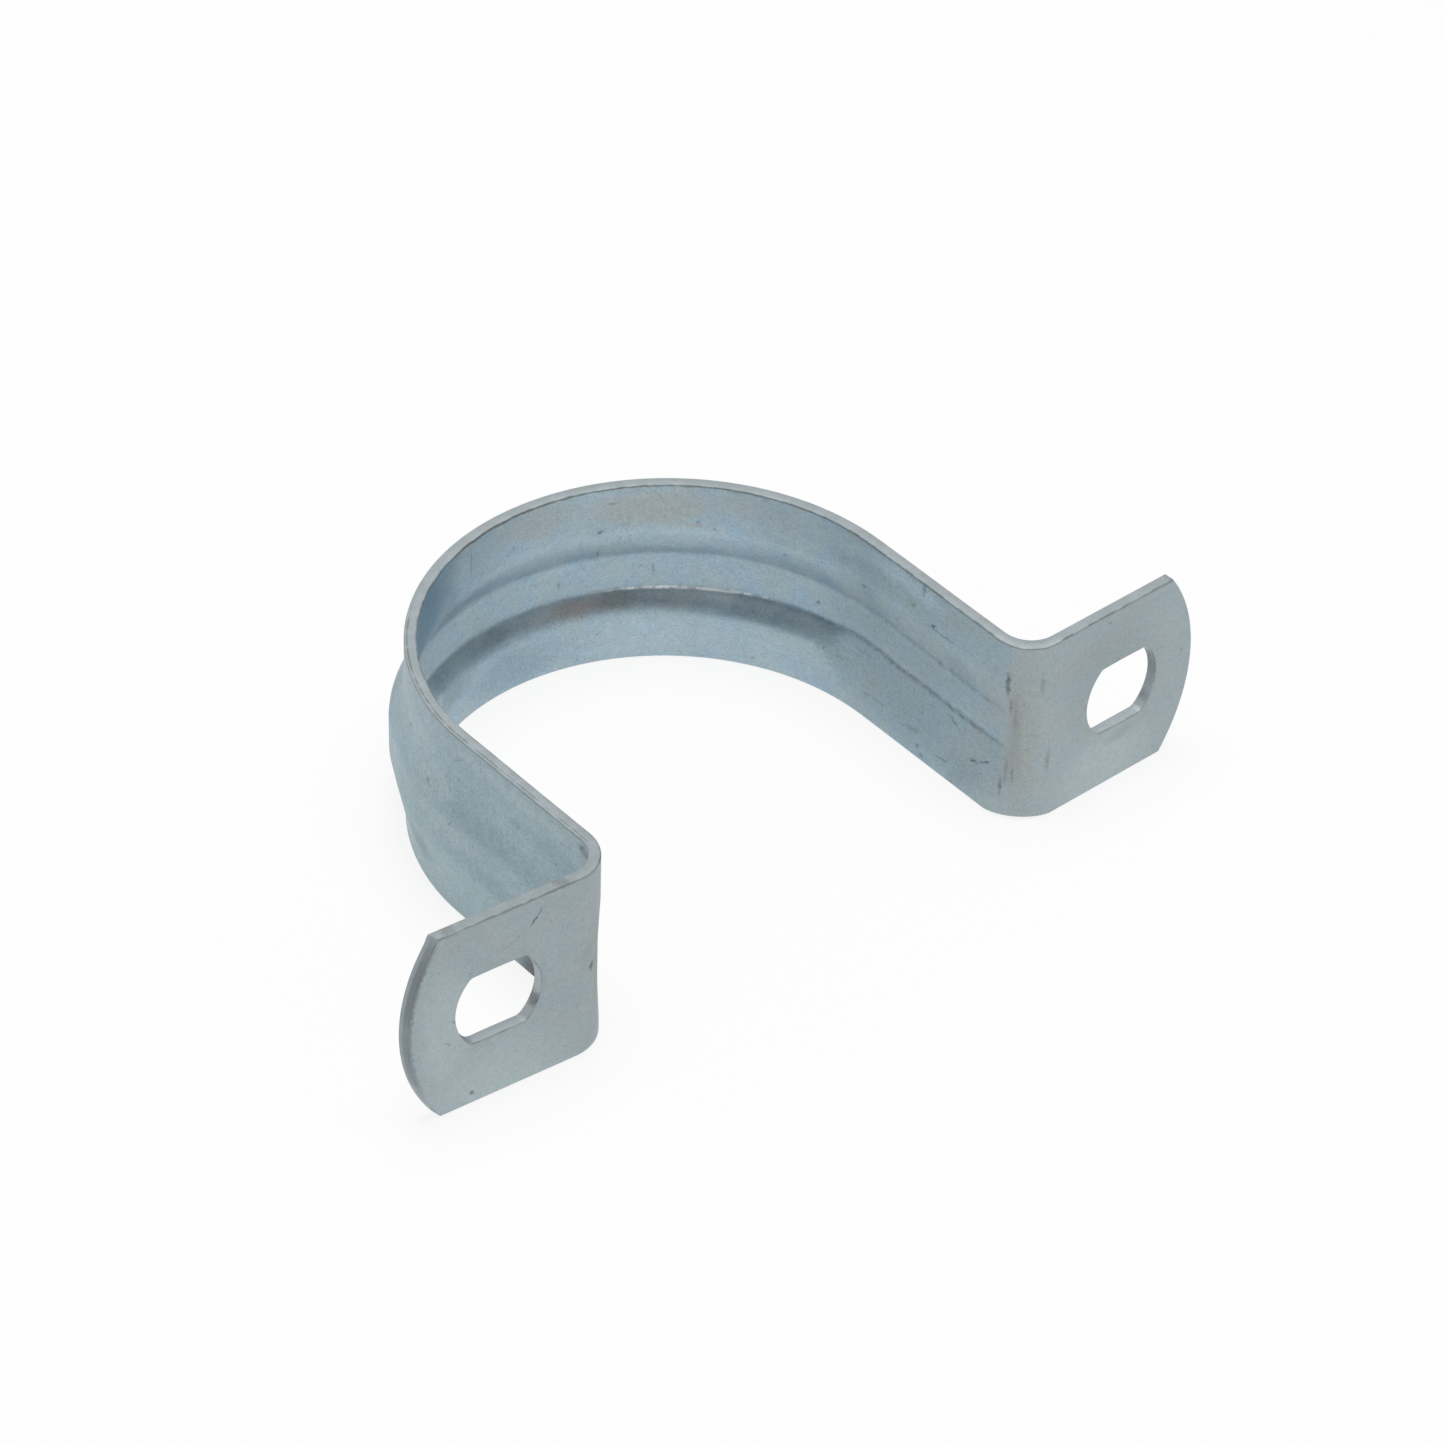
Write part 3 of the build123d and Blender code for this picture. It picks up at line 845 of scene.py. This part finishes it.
def makeCutEdge():
    # the sheared and punched edges: plated over a rough fracture, so duller and speckled
    material, tree = startMaterial("shearedEdge")
    place = addNode(tree, "Attribute", {}, "Vector", attribute_name="blankPlace")
    slotWall = addNode(tree, "Attribute", {}, "Fac", attribute_name="slotWall")
    axes = addNode(tree, "SeparateXYZ", {0: place}).node.outputs
    s, through = axes["X"], axes["Z"]
    streak = addNode(tree, "TexNoise", {"Vector": place, "Scale": 1 / cutEdge["streak"], "Detail": 3.0,
                                        "Roughness": 0.65}, "Fac")
    patch = addNode(tree, "TexNoise", {"Vector": place, "Scale": 1 / cutEdge["patch"], "Detail": 4.0},
                    "Fac")
    patchShare = addNode(tree, "MapRange", {"Value": patch, "From Min": 0.35, "From Max": 0.65},
                         interpolation_type="SMOOTHSTEP")
    colour = addNode(tree, "Mix", {0: patchShare, 6: toLinear(cutEdge["bright"]),
                                   7: toLinear(cutEdge["dull"])}, 2, data_type="RGBA")
    colour = addNode(tree, "Mix", {0: slotWall, 6: colour, 7: toLinear(cutEdge["slot"])}, 2,
                     data_type="RGBA")
    low, high = cutEdge["streakLevels"]
    level = addNode(tree, "MapRange", {"Value": streak, "To Min": low, "To Max": high}, clamp=False)
    for start, end, first, last in cutEdge["sideLevels"]:
        share = addNode(tree, "MapRange", {"Value": s, "From Min": start, "From Max": end,
                                           "To Min": first, "To Max": last})
        level = addNode(tree, "Math", {0: level, 1: share}, operation="MULTIPLY")
    colour = addNode(tree, "VectorMath", {0: colour, "Scale": level}, operation="SCALE")

    # stains, painted shade inside the left slot, and the torn half of the left tip's cut on the mounting
    # face's side
    loose = raggedPlace(tree, place, *cutEdge["stainOutline"])
    anyDepth = addNode(tree, "VectorMath", {0: loose, 1: (1, 1, 0)}, operation="MULTIPLY")
    start, end = cutEdge["tornRun"]
    half = addNode(tree, "MapRange", {"Value": through, "From Min": start, "From Max": end, "To Min": 1.0,
                                      "To Max": cutEdge["tornLeft"]}, interpolation_type="SMOOTHSTEP")
    torn = addNode(tree, "Math", {0: markMask(tree, anyDepth, tipMarks), 1: half}, operation="MULTIPLY")
    colour = addNode(tree, "Mix", {0: torn, 6: colour, 7: toLinear(cutEdge["torn"])}, 2,
                     data_type="RGBA")
    broken = addNode(tree, "MapRange", {"Value": streak, "From Min": 0.3, "From Max": 0.6, "To Min": 1.0,
                                        "To Max": cutEdge["stainBroken"]}, interpolation_type="SMOOTHSTEP")
    stainAndShade = addNode(tree, "Math", {0: markMask(tree, anyDepth, cutStainsAndShade), 1: broken},
                    operation="MULTIPLY")

    # dirt in a thin broken line at the mounting face's border, fainter at the outer one
    uneven = addNode(tree, "MapRange", {"Value": patch, "From Min": 0.4, "From Max": 0.6,
                                        "To Min": cutEdge["borderFaint"], "To Max": 1.0})
    for start, end, strength in cutEdge["borders"]:
        border = addNode(tree, "MapRange", {"Value": through, "From Min": start, "From Max": end,
                                            "To Max": strength}, interpolation_type="SMOOTHSTEP")
        border = addNode(tree, "Math", {0: border, 1: uneven}, operation="MULTIPLY")
        stainAndShade = addNode(tree, "Math", {0: stainAndShade, 1: border}, operation="MAXIMUM")

    # where the shear let go, a fine line along the left leg's edge
    off = addNode(tree, "Math", {0: through, 1: cutEdge["shearLine"]}, operation="SUBTRACT")
    off = addNode(tree, "Math", {0: off}, operation="ABSOLUTE")
    core, border = cutEdge["shearWidth"]
    line = addNode(tree, "MapRange", {"Value": off, "From Min": core, "From Max": border,
                                      "To Min": cutEdge["shearStrength"], "To Max": 0.0},
                   interpolation_type="SMOOTHSTEP")
    for start, end in cutEdge["shearRuns"]:
        share = addNode(tree, "MapRange", {"Value": s, "From Min": start, "From Max": end})
        line = addNode(tree, "Math", {0: line, 1: share}, operation="MULTIPLY")
    line = addNode(tree, "Math", {0: line, 1: uneven}, operation="MULTIPLY")
    stainAndShade = addNode(tree, "Math", {0: stainAndShade, 1: line}, operation="MAXIMUM")
    colour = addNode(tree, "Mix", {0: stainAndShade, 6: colour, 7: toLinear(cutEdge["dark"])}, 2,
                     data_type="RGBA")
    bump = addNode(tree, "Bump", {"Strength": 1.0, "Distance": cutEdge["streakHeight"] * mm,
                                  "Height": streak})
    shader = addNode(tree, "BsdfPrincipled", {"Base Color": colour, "Metallic": cutEdge["metallic"],
                                              "Roughness": cutEdge["roughness"], "Normal": bump})
    addNode(tree, "OutputMaterial", {"Surface": shader})
    return material


strap.data.materials.append(makeZinc())
strap.data.materials.append(makeCutEdge())
print("zinc plate and cut edges finished")

bpy.context.scene.view_settings.view_transform = "Standard"

# studio: the light a colour meets, so that it renders about as it is written
studio = {
    "horizon": 1.0,
    "above": 0.3,             # dim upper room, which the steep wall of the bead mirrors
    "fadeFrom": 0.05,
    "fadeTo": 0.42,
    "paper": "#F8F8F8",
    "floorShown": 0.85,       # share of plain white that the camera sees on the floor
    "floorMirrored": 0.92,    # and that the metal mirrors
    "floorSize": 4,           # m
    "lampHeight": 0.9,        # m
    "lampSize": 0.6,          # m
    "lampPower": 6.0,         # W
}


def makeFloorMaterial():
    # matt white paper, part of it plain white for the camera and for what mirrors it
    material, tree = startMaterial("paleFloor")
    path = addNode(tree, "LightPath", {}).node.outputs
    mirrored = addNode(tree, "Math", {0: path["Is Glossy Ray"], 1: path["Is Transmission Ray"]},
                       operation="MAXIMUM")
    mirrored = addNode(tree, "Math", {0: mirrored, 1: studio["floorMirrored"]}, operation="MULTIPLY")
    shown = addNode(tree, "Math", {0: path["Is Camera Ray"], 1: studio["floorShown"]},
                    operation="MULTIPLY")
    share = addNode(tree, "Math", {0: shown, 1: mirrored}, operation="MAXIMUM")
    plain = addNode(tree, "BsdfDiffuse", {"Color": toLinear(studio["paper"])})
    glow = addNode(tree, "Emission", {"Color": (1, 1, 1, 1), "Strength": 1.0})
    mixed = addNode(tree, "MixShader", {0: share, 1: plain, 2: glow})
    addNode(tree, "OutputMaterial", {"Surface": mixed})
    return material


def makeStudio():
    world = bpy.data.worlds.new("studio")
    bpy.context.scene.world = world
    world.use_nodes = True
    tree = world.node_tree
    tree.nodes.clear()
    place = addNode(tree, "TexCoord", {}, "Generated")
    rise = addNode(tree, "SeparateXYZ", {0: place}, "Z")
    light = addNode(tree, "MapRange", {"Value": rise, "From Min": studio["fadeFrom"],
                                       "From Max": studio["fadeTo"], "To Min": studio["horizon"],
                                       "To Max": studio["above"]}, interpolation_type="SMOOTHSTEP")
    seen = addNode(tree, "LightPath", {}, "Is Camera Ray")
    shown = addNode(tree, "Math", {0: light, 1: seen}, operation="MAXIMUM")
    background = addNode(tree, "Background", {"Color": shown, "Strength": 1.0})
    addNode(tree, "OutputWorld", {"Surface": background})

    bpy.ops.mesh.primitive_plane_add(size=studio["floorSize"])
    floor = bpy.context.object
    floor.name = "floor"
    floor.location = (0, 0, -0.1 * mm)
    floor.data.materials.append(makeFloorMaterial())


def addLamp():
    data = bpy.data.lights.new("topLight", "AREA")
    data.shape = "RECTANGLE"
    data.size = data.size_y = studio["lampSize"]
    data.energy = studio["lampPower"]
    lamp = bpy.data.objects.new("topLight", data)
    bpy.context.scene.collection.objects.link(lamp)
    lamp.location = (0, 0, studio["lampHeight"])


makeStudio()
addLamp()
print("studio lit")
